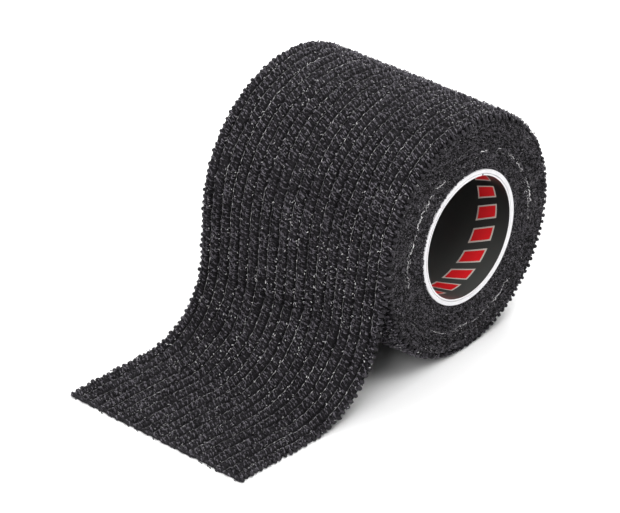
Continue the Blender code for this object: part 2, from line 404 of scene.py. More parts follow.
def cut_line(across):
    """How far the cut strays along the tape: each rib's end bulges by 1 - (2a)² on a slow random wave."""
    place = (across + half_tape) / rib_pitch
    bulge = 1.0 - (2.0 * (place - np.floor(place)) - 1.0) ** 2
    return CUT_BULGE * bulge + CUT_RAG * soft_noise(across, 0.0, CUT_WAVE, 1.0, 22) - CUT_BACK


def tape_point(along, across, height):
    """Point of the tape: centre + across · side + height · normal, lowered by the edge drop.

    Towards the cut end one edge runs on a little further than the other, because the cut is askew.
    """
    along, across, height = np.broadcast_arrays(along, across, height)
    along = along + CUT_SKEW * across / half_tape * ease((along - tail_length) / SKEW_LENGTH + 1.0)
    centre, normal = along_path(path_centre, along), along_path(path_normal, along)
    yaw = np.interp(along, path_s, path_yaw)
    droop = np.interp(along, path_s, path_droop)
    tuck = np.interp(along, path_s, path_tuck)
    side = np.stack([np.sin(yaw), np.cos(yaw), np.zeros_like(yaw)], axis=-1)
    width = FREE_WIDTH + (tape_width - FREE_WIDTH) * droop
    reach = across * width / tape_width + SIDE_DRIFT * (1.0 - droop)
    lift = height + LOFT * droop - tuck - np.interp(along, path_s, path_drop) * shoulder(across)
    point = centre + reach[..., None] * side + lift[..., None] * normal
    point[..., 2] = np.maximum(point[..., 2], cad_low.z)
    return point


# %% [markdown]
# ## The crepe's relief
#
# Crepe is knitted in lengthwise ribs. Along each rib the yarn makes slanted stitches, each a small
# dome with its own height, and between the ribs a groove holds the elastic. The relief is a height
# above the mid-surface worked out from the place across and along the tape.

# %% Ribs and stitches
STITCH_PITCH = 1.45 * MM
STITCH_SLANT = 0.85
RIB_HEIGHT = 0.34 * MM
STITCH_HEIGHT = 0.06 * MM
GROOVE_FLOOR = -0.28 * MM
UNDER_FACE = -0.46 * MM
EDGE_ROUND = 0.55 * MM
RIB_WANDER = 0.20 * MM
OWN_HEIGHTS = 211


def rib_wander(across, along):
    """Slow sideways wander of the ribs, shared by everything that lies on them."""
    return RIB_WANDER * soft_noise(across, along, 5.0 * MM, 8.0 * MM, 11)


def rib_place(across, along):
    """Which rib a point is on, its place across it from -0.5 to 0.5, and its stitch count along."""
    jitter = 0.12 * MM * soft_noise(across, along, 1.1 * MM, 1.3 * MM, 12)
    x = (across + rib_wander(across, along) + jitter + half_tape) / rib_pitch
    rib = np.clip(np.floor(x), 0, RIB_COUNT - 1)
    place = x - rib - 0.5
    start = np.random.default_rng(13).uniform(0.0, 1.0, RIB_COUNT)[rib.astype(int)]
    pull = 0.35 * soft_noise(across, along, 4.0 * MM, 4.0 * MM, 14)
    return rib, place, along / STITCH_PITCH + STITCH_SLANT * place + start + pull


def rib_body(place):
    """Section of a rib, 1 - |2a|³ at the place a across it."""
    return np.clip(1.0 - np.abs(2.0 * place) ** 3.0, 0.0, 1.0)


def crepe_relief(across, along):
    """Height above the mid-surface: groove floor + rounded rib + stitch domes + fine yarn.

    A stitch is √(1 - a²) across times √(1 - b²) along its slant, with a random height of its own.
    """
    rib, place, stitch = rib_place(across, along)
    body = rib_body(place)
    count = np.floor(stitch).astype(int)
    b = 2.0 * (stitch - count) - 1.0
    over = np.clip(1.0 - (2.05 * place) ** 2, 0.0, 1.0)
    dome = np.sqrt(over) * np.sqrt(np.clip(1.0 - 0.97 * b * b, 0.0, 1.0))
    heights = np.random.default_rng(15).uniform(0.45, 1.25, (RIB_COUNT, OWN_HEIGHTS))
    own = heights[rib.astype(int), count % OWN_HEIGHTS]
    strand = 0.035 * MM * np.cos(TAU * (3.0 * stitch + 1.4 * place)) * body
    knots = 0.10 * MM * soft_noise(across, along, 0.75 * MM, 0.7 * MM, 16)
    drift = 0.05 * MM * soft_noise(across, along, 3.0 * MM, 3.5 * MM, 17)
    return GROOVE_FLOOR + RIB_HEIGHT * body + STITCH_HEIGHT * dome * own + strand + knots * body + drift


# %% [markdown]
# ## The tape's pieces
#
# The strip is made in five lengths that meet stitch for stitch: three round the roll, the stretch
# over the peel line and the length that runs out flat. The two that cross a bend line stay where
# they are drawn, on no body.

# %% Where the tape lies on the turns below it
CLEARANCE = 0.10 * MM
RING_CLEARANCE = 0.05 * MM
EDGE_THICK = 0.30 * MM
UNDER_EDGE = 0.35
LET_GO = 8.0 * MM


def wound_outside(reach):
    """Radius of the ring of turns: their own, or what clears the drooping edge of the last turn."""
    drooped = mid_radius + LOFT - SHOULDER_DROP * shoulder(reach)
    return np.minimum(turns_radius - RING_CLEARANCE, drooped - EDGE_THICK)


def edge_round(across):
    """Share of the tape's height left at its rounded edge: √(1 - t²), with t reaching 1 at the edge."""
    t = np.clip(1.0 - (half_tape - np.abs(across)) / EDGE_ROUND, 0.0, 1.0)
    return np.sqrt(1.0 - t * t)


def under_height(across, along):
    """Height of the under face: down to the ring on the roll, and the tape's own once it lets go."""
    sunk = np.interp(along, path_s, path_tuck) + np.interp(along, path_s, path_drop) * shoulder(across)
    on_ring = wound_outside(across) + CLEARANCE - (mid_radius + LOFT - sunk)
    plain = UNDER_FACE * np.maximum(edge_round(across), UNDER_EDGE)
    return plain + (on_ring - plain) * ease(-along / LET_GO)


# %% A length of tape
UNDER_EVERY = 5
EDGE_INSET = 0.55 * MM
BACK_INSET = 0.25 * MM
INSET_FADE = 1.6 * MM
CUT_FADE = 2.5 * MM
LEAST_THICK = 0.15 * MM


def length_of_tape(name, start, stop, rows, segments):
    """A closed strip of crepe between two distances along the tape.

    The top face has UNDER_EVERY columns to each column of the under face. Both round off to the edge,
    which lies a little inside the fat loops that finish it.
    """
    along = np.linspace(start, stop, rows)[:, None]
    top_u = np.linspace(-half_tape, half_tape, segments * UNDER_EVERY + 1)[None, :]
    under_u = top_u[:, ::UNDER_EVERY][:, ::-1]
    across = np.concatenate([top_u, under_u], axis=1)
    near_edge = 1.0 - ease((half_tape - np.abs(across)) / INSET_FADE)
    loose = soft_noise(np.sign(across), along, 1.0, 0.9 * MM, 21)
    inset = np.where(across > 0.0, BACK_INSET, EDGE_INSET)
    edge = np.sign(across) * near_edge * inset * (0.4 * loose - 1.0)
    cut = ease((along - tail_length + CUT_FADE) / CUT_FADE)
    relief = crepe_relief(top_u, along) * edge_round(top_u)
    top = np.maximum(relief, under_height(top_u, along) + LEAST_THICK)
    height = np.concatenate([top, under_height(under_u, along)], axis=1)
    points = tape_point(along + cut_line(across) * cut, across + edge, height)
    lane = np.arange(segments)[:, None]
    upper = lane * UNDER_EVERY + np.arange(UNDER_EVERY + 1)[None, :]
    lower = across.shape[1] - 1 - lane - np.array([[1, 0]])
    made = closed_strip(name, points, np.concatenate([upper, lower], axis=1), ground_crepe)
    # Painted light: the colour number rises with height, so stitch tops are painted paler and the grooves
    # get painted shade.
    tone_with_painted_light = np.clip((height - GROOVE_FLOOR) / (RIB_HEIGHT + STITCH_HEIGHT), 0.0, 1.0)
    point_values(made, "tone_with_painted_light", tone_with_painted_light)
    return made


# %% Make the five lengths
SPLITS = (-115.0 * MM, -62.0 * MM, -10.0 * MM, 16.0 * MM)
UNDER_LANES = 30
ROW_STEP = 0.38 * MM
names = ("last_turn_tuck", "last_turn_back", "last_turn_top", "peel_stretch", "laid_end")
lengths = dict(zip(names, zip((-wrap_length, *SPLITS), (*SPLITS, tail_length))))
tape = {
    name: length_of_tape(name, start, stop, int((stop - start) / ROW_STEP), UNDER_LANES)
    for name, (start, stop) in lengths.items()
}


def each_length(make, suffix, seed, *more):
    """Call a maker for every length of tape, with the piece's name, its two ends and a seed of its own."""
    return {
        name: make(f"{name}_{suffix}", *extent, seed + k, *more)
        for k, (name, extent) in enumerate(lengths.items())
    }


# %% [markdown]
# ## Loops of yarn
#
# What the eye sees of crepe is its yarn. Two chains of slanted loops run along each rib and swell
# with its stitches. Loose curls lie among them, strands cross the grooves, and some stitches have a
# wide ring of yarn round them. The under face has flatter chains where the tape is off the roll.
# At both edges the yarn turns round in fat loops, which is why the outline is toothed. Every loop
# is a short bent tube, swept in one go for a whole length of tape.

# %% Sweeping tubes
def tubes(name, centre, normal, radius, sides, shade, material):
    """Sweep a tube along each row of points.

    Round each point the rim is r (cos k · n + sin k · b), with b across the row's own direction and n
    across both. Ends are closed, and nothing goes below the table.
    """
    count, rows = centre.shape[:2]
    ahead = np.gradient(centre, axis=1)
    ahead = ahead / np.linalg.norm(ahead, axis=2, keepdims=True)
    b = np.cross(ahead, normal)
    b = b / np.linalg.norm(b, axis=2, keepdims=True)
    n = np.cross(b, ahead)
    turn = np.arange(sides) * TAU / sides
    rim = np.cos(turn)[:, None] * n[:, :, None, :] + np.sin(turn)[:, None] * b[:, :, None, :]
    thick = np.broadcast_to(radius, centre.shape[:2])[:, :, None, None]
    points = (centre[:, :, None, :] + thick * rim).reshape(-1, 3)
    points[:, 2] = np.maximum(points[:, 2], cad_low.z)
    first = np.arange(count)[:, None] * rows * sides
    body = (ring_quads(rows, sides)[None] + first[:, None]).reshape(-1, 4)
    near = np.arange(sides)[None, ::-1] + first
    far = np.arange(sides)[None, :] + (rows - 1) * sides + first
    made = mesh_object(name, points, [body, near, far], material)
    point_values(made, "tone_with_painted_light", np.repeat(np.broadcast_to(shade, centre.shape[:2]).ravel(), sides))
    return made


def tape_tubes(name, along, across, height, radius, shade, sides, material):
    """Tubes whose rows of points are given as distances along, across and above the tape."""
    along, across, height = np.broadcast_arrays(along, across, height)
    centre = tape_point(along, across, height)
    made = tubes(name, centre, along_path(path_normal, along), radius, sides, shade, material)
    return made


def sweep_yarn(name, kinds, points, sides):
    """Sweep kinds of yarn together, each given as arrays of along, across, height, radius and shade."""
    rows = [[value.reshape(-1, points) for value in np.broadcast_arrays(*kind)] for kind in kinds]
    return tape_tubes(name, *(np.concatenate(values) for values in zip(*rows)), sides, charcoal_yarn)


# %% Places for stitches
CHAINS_PER_RIB = 2
CHAIN_SPREAD = 0.72
LOOP_PITCH = 0.56 * MM
UNDER_PITCH = 0.72 * MM
CURL_PITCH = 1.05 * MM
CUT_ENDS = 330
LOOP_SLANT = -0.42
LOOP_POINTS = 5
YARN_SIDES = 4
YARN_RADIUS = 0.132 * MM
LOOP_LIMIT = half_tape - 0.55 * MM
OPEN_FROM = -6.0 * MM
OPEN_OVER = 10.0 * MM
across_loop = np.linspace(-1.0, 1.0, LOOP_POINTS)
loop_arch = 1.0 - across_loop ** 2


def stitch_grid(rng, start, stop, pitch, lanes, loose=0.42):
    """Seeded places for stitches in lanes: lane numbers, distances along, and a picker for the rest."""
    count = max(int(round((stop - start) / pitch)), 1)
    pick = picker(rng, (lanes, count, 1))
    along = start + (np.arange(count)[None, :, None] + 0.5 + pick(-loose, loose)) * (stop - start) / count
    return np.arange(lanes)[:, None, None], along, pick


def off_the_roll(along):
    """0 on the roll and 1 on the free tape, where the grooves lie open and dark."""
    # On the free tape this also paints shade on the yarn beside the open grooves.
    return ease((along - OPEN_FROM) / OPEN_OVER)


# %% Chains, strands, curls and cut ends
KNOT_PAINTED_SHADE = 0.95
OPEN_GROOVE_PAINTED_SHADE = 0.14
UNDER_OFFSET = 0.03 * MM
UNDER_FLATTER = 0.6


def chain_loops(rng, start, stop, pitch=LOOP_PITCH):
    """Two chains of small arches side by side on each rib, 1 - t² high, slanted back along the tape.

    Their height follows ½ - ½ cos of the stitch count, so that each stitch is a knot, and their
    shade follows it as painted shade between the knots.
    """
    lane, along, pick = stitch_grid(rng, start, stop, pitch, RIB_COUNT * CHAINS_PER_RIB)
    off = CHAIN_SPREAD * ((lane % CHAINS_PER_RIB + 0.5) / CHAINS_PER_RIB - 0.5)
    home = (lane // CHAINS_PER_RIB + 0.5 + off) * rib_pitch - half_tape
    half = pick(0.26, 0.42) * MM
    aside = pick(-0.12, 0.12) * MM + half * across_loop
    u = np.clip(home - rib_wander(home, along) + aside, -LOOP_LIMIT, LOOP_LIMIT)
    s = along + (LOOP_SLANT + pick(-0.24, 0.24)) * half * across_loop + pick(-0.10, 0.10) * MM * loop_arch
    place = off + aside / rib_pitch
    level = GROOVE_FLOOR + RIB_HEIGHT * rib_body(place)
    swell = 0.5 - 0.5 * np.cos(TAU * rib_place(home, along)[2])
    h = level + 0.02 * MM + pick(0.24, 0.52) * (0.25 + 0.95 * swell) * MM * loop_arch ** 0.7
    radius = YARN_RADIUS * pick(0.70, 1.15) * (0.72 + 0.28 * loop_arch)
    # Painted shade: loops are darker between knots, at the rib sides on the free tape, and at each arch's
    # diving ends; the slow noise is the yarn's own tone.
    patch_and_painted_light = 0.10 * soft_noise(home, along, 2.4 * MM, 2.0 * MM, 18) + KNOT_PAINTED_SHADE * (swell - 0.5)
    patch_and_painted_light = patch_and_painted_light - OPEN_GROOVE_PAINTED_SHADE * off_the_roll(along) * np.abs(place)
    shade = 0.08 + 0.68 * pick(0.0, 1.0) + 0.26 * loop_arch + patch_and_painted_light + rng.uniform(-0.12, 0.12, s.shape)
    return s, u, h, radius, shade


def groove_bridges(rng, start, stop):
    """Strands that cross the grooves from rib to rib, low enough for the groove to stay a groove."""
    groove, along, pick = stitch_grid(rng, start, stop, STITCH_PITCH, RIB_COUNT - 1, 0.18)
    home = (groove + 1.0) * rib_pitch - half_tape
    half = pick(0.22, 0.55) * MM
    u = home - rib_wander(home, along) + pick(-0.12, 0.12) * MM + half * across_loop
    s = along + pick(-0.9, 0.9) * half * across_loop + pick(-0.2, 0.2) * MM * loop_arch
    free = off_the_roll(along)
    h = GROOVE_FLOOR + (pick(0.12, 0.30) - 0.10 * free) * MM + pick(0.0, 0.18) * MM * loop_arch
    radius = YARN_RADIUS * pick(0.75, 1.10)
    # Painted shade: strands are darker on the free tape, and their diving ends darker than the middle of
    # each arch.
    return s, u, h, radius, 0.02 + 0.55 * (1.0 - 0.4 * free) * pick(0.0, 1.0) ** 1.5 + 0.08 * loop_arch


def loose_curls(rng, start, stop):
    """Short curls of yarn anywhere on a rib, turned any way, their ends tucked in."""
    rib, along, pick = stitch_grid(rng, start, stop, CURL_PITCH, RIB_COUNT)
    off = pick(-0.38, 0.38)
    half, turn = pick(0.12, 0.34) * MM, pick(-1.6, 1.6)
    u = (rib + 0.5 + off) * rib_pitch - half_tape + half * across_loop * np.cos(turn)
    s = along + half * across_loop * np.sin(turn)
    h = GROOVE_FLOOR + RIB_HEIGHT * rib_body(off) + pick(0.28, 0.50) * MM + pick(0.0, 0.22) * MM * loop_arch
    radius = YARN_RADIUS * pick(0.55, 1.0) * (0.75 + 0.25 * loop_arch)
    # Painted shade: each curl's tucked-in ends are darker than its middle.
    return s, u, h, radius, 0.20 + 0.85 * pick(0.0, 1.0) ** 1.4 + 0.12 * loop_arch


def cut_ends(rng, start, stop):
    """Yarn ends along the cut: each starts on top, runs out over the cut and turns down in front of it."""
    pick = picker(rng, (CUT_ENDS, 1))
    place = (np.arange(CUT_ENDS)[:, None] + pick(0.0, 1.0)) / CUT_ENDS
    turn = (across_loop + 1.0) / 4.0 * math.pi
    u = (2.0 * place - 1.0) * (half_tape - 0.2 * MM) + pick(-0.12, 0.12) * MM * across_loop
    s = stop + cut_line(u) - 0.30 * MM + pick(0.38, 0.44) * MM * np.sin(turn)
    h = -0.34 * MM + pick(0.42, 0.60) * MM * np.cos(turn)
    return s, u, h, YARN_RADIUS * pick(0.9, 1.2), 0.05 + 0.40 * pick(0.0, 1.0)


def under_loops(rng, start, stop):
    """Chains on the under face once it is off the roll, their arches turned down and flatter."""
    s, u, h, radius, shade = chain_loops(rng, max(start, LET_GO), stop, UNDER_PITCH)
    return s, u, UNDER_FACE + UNDER_OFFSET - UNDER_FLATTER * (h - GROOVE_FLOOR), radius, shade


# %% Yarn of each length
def yarn_loops(name, start, stop, seed, makers):
    """Yarn of the given kinds for one length of tape, swept together."""
    rng = np.random.default_rng(seed)
    return sweep_yarn(name, [make(rng, start, stop) for make in makers], LOOP_POINTS, YARN_SIDES)


def top_yarn(name, start, stop, seed):
    """Chains and curls for one length, with the yarn ends of the cut on the length that reaches it."""
    ends = (cut_ends,) if stop == tail_length else ()
    return yarn_loops(name, start, stop, seed, (chain_loops, loose_curls, *ends))


loops = each_length(top_yarn, "yarn", 81)
bridges = each_length(yarn_loops, "bridges", 121, (groove_bridges,))
under_yarn = {
    name: yarn_loops(f"{name}_under_yarn", *lengths[name], 87 + k, (under_loops,))
    for k, name in enumerate(names[3:])
}

# %% Stitch rings
RING_POINTS = 9
RING_SHARE = 0.30
around_ring = np.linspace(-0.86, 0.86, RING_POINTS) * math.pi


def stitch_rings(name, start, stop, seed):
    """A wide ring of yarn for some stitches of a rib: an ellipse across it, open where the yarn dives."""
    rng = np.random.default_rng(seed)
    rib, along, pick = stitch_grid(rng, start, stop, STITCH_PITCH, RIB_COUNT, 0.22)
    turn = around_ring + pick(-0.9, 0.9)
    home = (rib + 0.5) * rib_pitch - half_tape + pick(-0.16, 0.16) * MM
    aside = pick(0.35, 0.80) * MM * np.cos(turn)
    u = home - rib_wander(home, along) + aside
    s = along + pick(0.26, 0.55) * MM * np.sin(turn) + (LOOP_SLANT + pick(-0.5, 0.5)) * 0.6 * aside
    level = GROOVE_FLOOR + RIB_HEIGHT * rib_body(aside / rib_pitch)
    # Painted highlight: the raised side of each ring is painted paler.
    raised_side_painted_light = np.cos(turn + pick(-3.0, 3.0))
    h = level + pick(0.22, 0.46) * MM + 0.22 * MM * raised_side_painted_light
    radius = YARN_RADIUS * pick(0.60, 0.95)
    patch_and_painted_light = 0.20 * soft_noise(home, along, 2.4 * MM, 2.0 * MM, 18) + 0.25 * raised_side_painted_light
    shade = 0.16 + 0.55 * pick(0.0, 1.0) + patch_and_painted_light + rng.uniform(-0.35, 0.35, s.shape)
    kept = np.broadcast_to(pick(0.0, 1.0) < RING_SHARE, s.shape)
    values = np.broadcast_arrays(s, np.clip(u, -LOOP_LIMIT, LOOP_LIMIT), h, radius, shade)
    return sweep_yarn(name, [[value[kept] for value in values]], RING_POINTS, YARN_SIDES)


rings = each_length(stitch_rings, "stitches", 111)

# %% Fat loops along both edges
BEAD_RADIUS = 0.47 * MM
BEAD_REACH = 0.55 * MM
BEAD_POINTS = 7
BEAD_SIDES = 8
BEAD_TIGHTENS = 4.0 * MM
along_bead = np.linspace(-1.0, 1.0, BEAD_POINTS)


def edge_beads(name, start, stop, seed):
    """A fat loop for each edge stitch, lying across the edge and as thick as √(1 - t²), so an egg.

    Wound on the roll they are pulled tighter, so they are smaller there than on the free tape.
    """
    edge, along, pick = stitch_grid(np.random.default_rng(seed), start, stop, STITCH_PITCH, 2, 0.16)
    wound = 1.0 - ease(along / BEAD_TIGHTENS + 1.0)
    in_front = wound * (1.0 - edge)
    s = along + pick(-0.30, 0.30) * MM * along_bead
    out = half_tape - (0.30 - 0.20 * wound + (0.10 + 0.30 * wound) * edge) * MM + pick(-0.24, 0.18) * MM
    u = (2.0 * edge - 1.0) * (out + BEAD_REACH * (1.0 - 0.25 * wound) * along_bead)
    h = (0.06 * in_front + pick(-0.08, 0.16) - 0.06 * along_bead) * MM
    egg = np.sqrt(1.0 - 0.96 * along_bead ** 2)
    radius = BEAD_RADIUS * (1.0 - 0.20 * in_front) * pick(0.78, 1.10) * egg
    return sweep_yarn(name, [(s, u, h, radius, 0.12 + 0.40 * pick(0.0, 1.0))], BEAD_POINTS, BEAD_SIDES)


beads = each_length(edge_beads, "beads", 91)

# %% [markdown]
# ## Elastic threads and bright flecks
#
# A pale elastic thread runs in every groove. It rides up between stitches and dips under them, so
# only dashes of it show. Here and there a bit of elastic pops out on a stitch; these pale flecks
# also stand in as painted glints on the yarn.

# %% Threads in the grooves
THREAD_RADIUS = 0.065 * MM
THREAD_STEP = 0.36 * MM
THREAD_INSET = 0.2 * MM
THREAD_SIDES = 4


def groove_threads(name, start, stop):
    """Threads of one length of tape, swaying in their grooves, rising and dipping, bright at stitches."""
    along = np.arange(start + THREAD_INSET, stop - THREAD_INSET, THREAD_STEP)[None, :]
    groove = np.arange(1, RIB_COUNT)[:, None] * 1.0
    home = groove * rib_pitch - half_tape
    wave = lambda length, seed: soft_noise(groove, along, 1.0, length * MM, seed)
    sway = 0.09 * MM * wave(1.4, 31) - 0.14 * MM
    across = home + sway - rib_wander(home, along)
    height = -0.04 * MM + 0.17 * MM * wave(0.8, 32) + 0.17 * MM * wave(5.0, 33)
    stitch = along / STITCH_PITCH + 0.37 * groove + 0.5 * wave(4.0, 34)
    chance = np.random.default_rng(37).uniform(0.0, 1.0, stitch.shape)
    dots = np.clip(np.cos(TAU * stitch) - 0.1, 0.0, 1.0) * chance
    falling = ease((along + 34.0 * MM) / (12.0 * MM)) * ease((drop_length - along) / (9.0 * MM))
    bared = ease(1.5 * wave(7.0, 35) + 0.05 + 0.60 * falling)
    line = 0.07 + 0.07 * wave(1.5, 36)
    shade = 0.02 + bared * line + (0.40 + 0.95 * bared) * dots
    return tape_tubes(name, along, across, height, THREAD_RADIUS, shade, THREAD_SIDES, elastic)


threads = {name: groove_threads(f"{name}_elastic", *extent) for name, extent in lengths.items()}

# %% Flecks on the tape
FLECKS_PER_MM = 13.0
GROOVE_SHARE = 0.62
FLECK_POINTS = 3
FLECK_SIDE = 0.6 * MM
FLECK_END = 0.8 * MM
FLECK_LIFT = 0.46 * MM


def elastic_flecks_and_painted_glints(name, start, stop, seed):
    """Short tubes lying just above the loops at seeded places, more of them where a slow noise is high."""
    rng = np.random.default_rng(seed)
    tries = int((stop - start) / MM * FLECKS_PER_MM * 2)
    across = rng.uniform(-half_tape + FLECK_SIDE, half_tape - FLECK_SIDE, tries)
    along = rng.uniform(start + FLECK_END, stop - FLECK_END, tries)
    groove = np.round((across + half_tape) / rib_pitch) * rib_pitch - half_tape
    beside = rng.uniform(0.0, 1.0, tries) < GROOVE_SHARE
    across = np.where(beside, groove + rng.uniform(-0.3, 0.3, tries) * MM, across)
    likely = 0.5 + 0.5 * soft_noise(across, along, 3.5 * MM, 4.5 * MM, 42)
    kept = rng.uniform(0.0, 1.0, tries) < likely
    across, along = across[kept][:, None], along[kept][:, None]
    pick = picker(rng, across.shape)
    half, turn = pick(0.06, 0.22) * MM, pick(-1.3, 1.3)
    t = np.linspace(-1.0, 1.0, FLECK_POINTS)[None, :]
    u = across + half * t * np.sin(turn)
    s = along + half * t * np.cos(turn)
    place = (across + half_tape) / rib_pitch
    off_middle = 2.0 * np.abs(place - np.floor(place) - 0.5)
    height = GROOVE_FLOOR + RIB_HEIGHT * (1.0 - off_middle ** 3) + FLECK_LIFT + 0.05 * MM * (1.0 - t * t)
    # Painted glints: the flecks are brightest on the drop and dimmer on the roll's top and on the flat end.
    bright = 0.70 + 0.50 * ease(along / (12.0 * MM) + 1.0) * ease((drop_length - along) / (10.0 * MM))
    bright = bright - 0.24 * ease((along - drop_length + 4.0 * MM) / (8.0 * MM))
    radius = pick(0.055, 0.10) * MM
    return tape_tubes(name, s, u, height, radius, pick(0.18, 0.95) * bright, THREAD_SIDES, elastic)


flecks = each_length(elastic_flecks_and_painted_glints, "flecks", 43)

# %% [markdown]
# ## The wound edges
#
# On each end of the roll the edges of some twenty turns lie side by side. They aren't level: each
# turn stands a little proud or shy, and loops of yarn stick out, so the face looks like felt. The
# ring is one closed surface, its section carried round the axis, with the relief on both ends.

# %% Ring of wound turns
TURN_PITCH = 0.56 * MM
RING_STEPS = 560
FACE_STEPS = 58
SHOULDER_STEPS = 9
FACE_INSET = 0.12 * MM
FACE_RUN = 20.0 * MM
FRONT_RELIEF, BACK_RELIEF = 51, 61
wound_inner = core_radius + 0.06 * MM
face_outer = float(wound_outside(np.array(-half_tape)))


def round_axis(radius, angle, y):
    """Points at a radius and an angle round the roll's axis, and a distance y along it."""
    spot = np.broadcast_arrays(radius * np.cos(angle), y, radius * np.sin(angle))
    return roll_axis + np.stack(spot, axis=-1)


def edge_relief(radius, angle, seed):
    """How far the wound edges stand out: turns of a spiral, each with its own level, plus knobs and grain.

    The turn count is (r - r0) / pitch - angle / 2π, so a turn runs on into the next one out.
    """
    turn = (radius - wound_inner) / TURN_PITCH - angle / TAU
    count = np.floor(turn)
    crown = 1.0 - (2.0 * (turn - count) - 1.0) ** 2
    run = angle * FACE_RUN
    level = 0.10 * MM * soft_noise(count, run, 1.0, 3.0 * MM, seed)
    knobs = 0.20 * MM * soft_noise(radius, run, 0.50 * MM, 0.50 * MM, seed + 1)
    grain = 0.30 * MM * soft_noise(radius, run, 0.27 * MM, 0.28 * MM, seed + 2)
    return 0.06 * MM * crown + level + knobs + grain


def wound_ring():
    """Carry the section round the axis: out over one end, along the outside, in over the other."""
    angle = np.linspace(0.0, TAU, RING_STEPS, endpoint=False)[:, None]
    face_r = np.linspace(wound_inner, face_outer, FACE_STEPS)
    side_y = half_tape - np.linspace(0.05, 2.6, SHOULDER_STEPS) * MM
    front_r, back_r = (np.concatenate([face_r, wound_outside(end * side_y)]) for end in (-1.0, 1.0))
    half_y = np.concatenate([np.full(FACE_STEPS, half_tape), side_y])
    half_amount = np.concatenate([np.ones(FACE_STEPS), np.zeros(SHOULDER_STEPS)])
    radius = np.concatenate([front_r, back_r[::-1]])[None, :]
    reach = np.concatenate([-half_y, half_y[::-1]])[None, :]
    amount = np.concatenate([half_amount, half_amount[::-1]])[None, :]
    front, back = (edge_relief(radius, angle, seed) for seed in (FRONT_RELIEF, BACK_RELIEF))
    proud = np.where(reach < 0.0, front, back)
    points = round_axis(radius, angle, reach + np.sign(reach) * amount * (proud - FACE_INSET))
    faces = [ring_quads(RING_STEPS, radius.shape[1], wrap_rows=True)]
    made = mesh_object("wound_edges", points.reshape(-1, 3), faces, wound_crepe)
    # Painted shade: turns that stand proud are painted paler, and turns that lie shy are painted darker.
    point_values(made, "tone_with_painted_light", np.clip(0.40 + (proud * amount) / (0.62 * MM), 0.0, 1.0))
    return made


wound_edges = wound_ring()

# %% [markdown]
# ## Yarn ends on the wound edges
#
# Close to, the end face is a mat of tiny loops: the turned edges of all the turns. Short dark curls
# make it. A broken circle of white thread, with loose white ends beside it, shows where one length
# was joined on to the next, and a fainter one lies outside it.

# %% Curls, pale ends and threads on the end faces
JOIN_RADIUS = 20.0 * MM
SEAM_RADIUS = 21.5 * MM
JOIN_DROP = 1.0 * MM
JOIN_LIFT = 0.10 * MM
SEAM_ARCS = 16
FACE_CURLS = 6900
FACE_CLEAR = 0.28 * MM
FACE_SIDES = 4
JOIN_ENDS = 170
JOIN_POINTS = 60
# Lengths of thread along the join: the middle and the half length in degrees, and the brightness.
JOIN_ARCS = np.array([
    (7, 9, 0.80), (28, 6, 0.75), (42, 4, 0.60), (58, 2, 0.85), (75, 3, 0.80),
    (118, 6, 0.55), (138, 11, 0.95), (157, 4, 0.60), (168, 9, 0.95), (184, 4, 0.60),
    (240, 9, 0.40), (262, 8, 0.50), (278, 6, 0.45), (300, 8, 0.65), (353, 6, 0.55),
])
STRAY_ENDS = 1200


def face_place(end, relief_seed, radius, angle, lift):
    """Points of one end face, a lift above the wound edges, and the outward direction at each."""
    relief = edge_relief(radius, angle % TAU, relief_seed)
    centre = round_axis(radius, angle, end * (half_tape - FACE_INSET + relief + lift))
    return centre, np.broadcast_to(np.array([0.0, end, 0.0]), centre.shape)


def face_tubes(name, end, relief_seed, theta, radius, half, turn, arch, thick, shade, material):
    """Short tubes on one end face at angle and radius, turned off the tape's run and arched outward."""
    t = np.linspace(-1.0, 1.0, FLECK_POINTS)[None, :]
    r = np.minimum(radius + half * t * np.sin(turn), face_outer - FACE_CLEAR)
    angle = theta + half * t * np.cos(turn) / radius
    centre, outward = face_place(end, relief_seed, r, angle, arch * (1.0 - t * t))
    made = tubes(name, centre, outward, thick, FACE_SIDES, shade, material)
    return made


def face_curls(name, end, relief_seed, seed):
    """Dark curls strewn evenly over the face: radius is the root of an even spread in radius squared."""
    pick = picker(np.random.default_rng(seed), (FACE_CURLS, 1))
    radius = np.sqrt(pick((wound_inner + 0.2 * MM) ** 2, (face_outer - 0.05 * MM) ** 2))
    theta, half, turn = pick(0.0, TAU), pick(0.07, 0.19) * MM, pick(-1.5, 1.5)
    arch, thick = pick(0.05, 0.34) * MM, YARN_RADIUS * pick(0.40, 0.70)
    shade = -0.25 + 1.55 * pick(0.0, 1.0) ** 1.3
    return face_tubes(name, end, relief_seed, theta, radius, half, turn, arch, thick, shade, felt_yarn)


def face_ends(name, end, relief_seed, seed):
    """White ends: bunches beside the lengths of the join's thread, and a few strays anywhere."""
    rng = np.random.default_rng(seed)
    share = JOIN_ARCS[:, 1] * JOIN_ARCS[:, 2]
    arc = rng.choice(len(JOIN_ARCS), JOIN_ENDS, p=share / share.sum())
    theta = np.radians(JOIN_ARCS[arc, 0] + JOIN_ARCS[arc, 1] * rng.uniform(-1.1, 1.1, JOIN_ENDS))
    radius = JOIN_RADIUS - JOIN_DROP * np.sin(theta) + rng.normal(0.0, 0.35 * MM, JOIN_ENDS)
    theta = np.concatenate([theta, rng.uniform(0.0, TAU, STRAY_ENDS)])[:, None]
    radius = np.concatenate([radius, rng.uniform(wound_inner, face_outer, STRAY_ENDS)])[:, None]
    half = np.concatenate([rng.uniform(0.10, 0.40, JOIN_ENDS), rng.uniform(0.05, 0.16, STRAY_ENDS)])
    half = half[:, None] * MM
    stray_shade = -0.10 + 0.75 * rng.uniform(0.0, 1.0, STRAY_ENDS) ** 3
    shade = np.concatenate([JOIN_ARCS[arc, 2] * rng.uniform(0.25, 1.0, JOIN_ENDS), stray_shade])[:, None]
    turn = rng.normal(0.0, 0.5, theta.shape)
    arch, thick = 0.12 * MM, 0.055 * MM
    return face_tubes(name, end, relief_seed, theta, radius, half, turn, arch, thick, shade, elastic)


